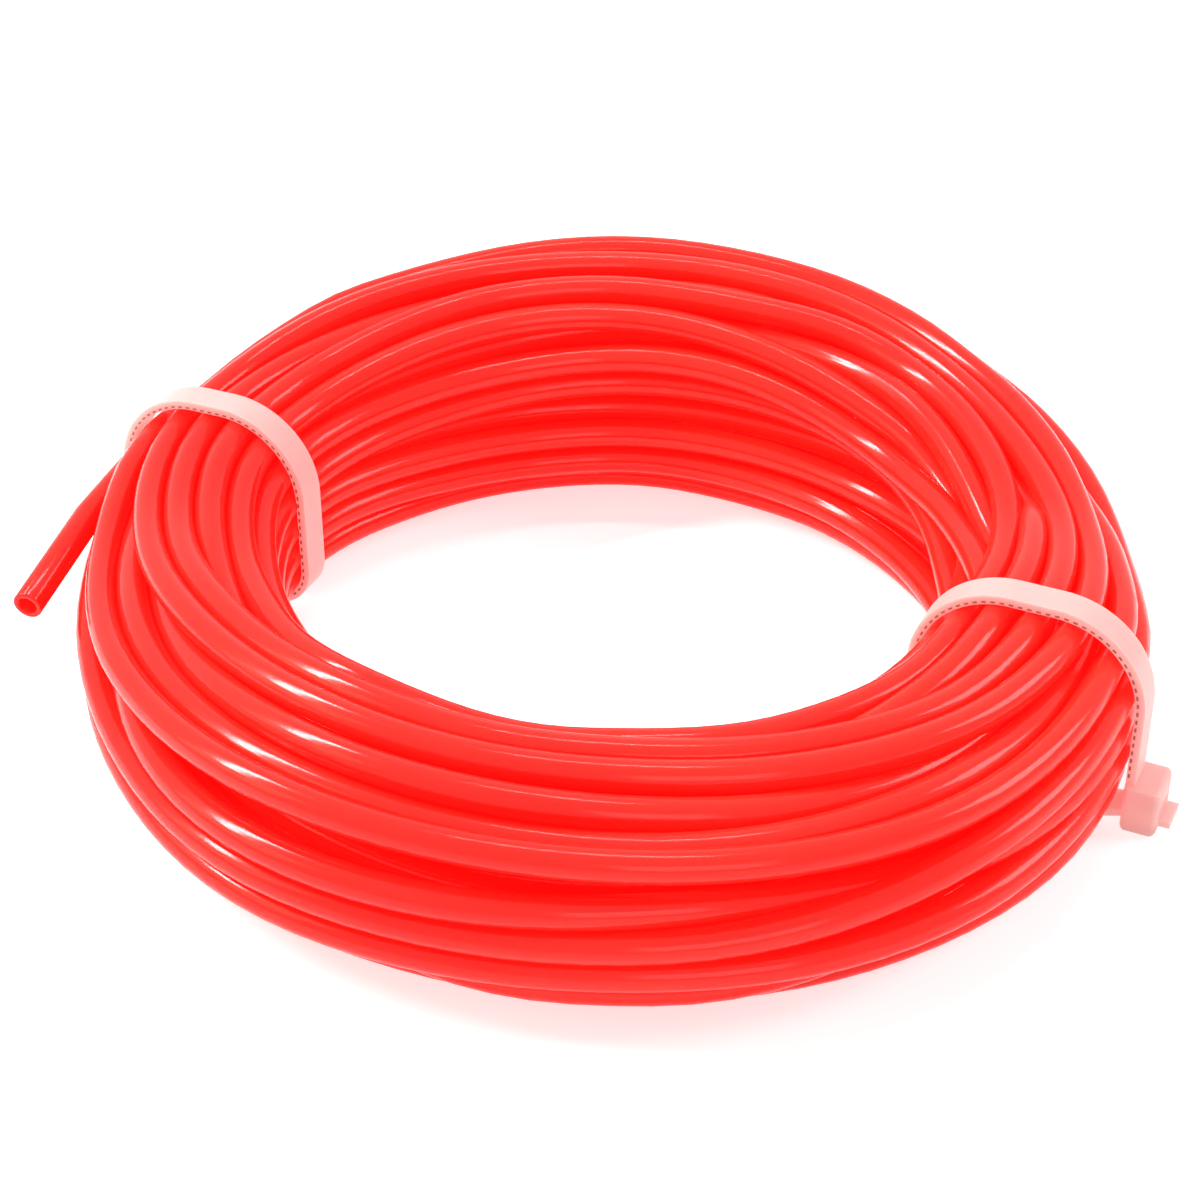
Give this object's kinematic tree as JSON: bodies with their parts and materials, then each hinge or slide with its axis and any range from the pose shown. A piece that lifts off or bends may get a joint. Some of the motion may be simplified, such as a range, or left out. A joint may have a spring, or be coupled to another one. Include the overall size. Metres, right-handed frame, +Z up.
{
  "type": "coiled air hose",
  "caption": "Flexible plastic air hose wound in a ring and held by two cable ties, with both ends cut square for push-in fittings.",
  "frame": {"origin": "middle of the footprint, on the surface that the coil lies on", "axes": "+Z up along the axis of the ring; the free end points towards -Y on the -X side, and the right tie's head faces +X and -Y"},
  "size_m": [0.1486, 0.1546, 0.0346],
  "materials": {
    "hose": "glossy translucent red polyurethane",
    "tie": "satin natural nylon, slightly translucent"
  },
  "bodies": {
    "coil": {"hose_coil": "hose", "hose_free_end": "hose", "hose_start_end": "hose", "left_tie": "tie", "right_tie": "tie"},
    "left_pawl": {"left_tie_pawl": "tie"},
    "right_pawl": {"right_tie_pawl": "tie"}
  },
  "joints": [
    {"name": "left_pawl_flex", "type": "hinge", "parent": "coil", "child": "left_pawl", "pos_m": [-0.06395, 0.02304, 0.0031], "axis": [0.3907, 0.9205, 0], "range_deg": [0, 10], "stiffness_Nm_per_rad": 0.02},
    {"name": "right_pawl_flex", "type": "hinge", "parent": "coil", "child": "right_pawl", "pos_m": [0.06851, -0.0359, 0.0031], "axis": [-0.4226, -0.9063, 0], "range_deg": [0, 10], "stiffness_Nm_per_rad": 0.02}
  ]
}
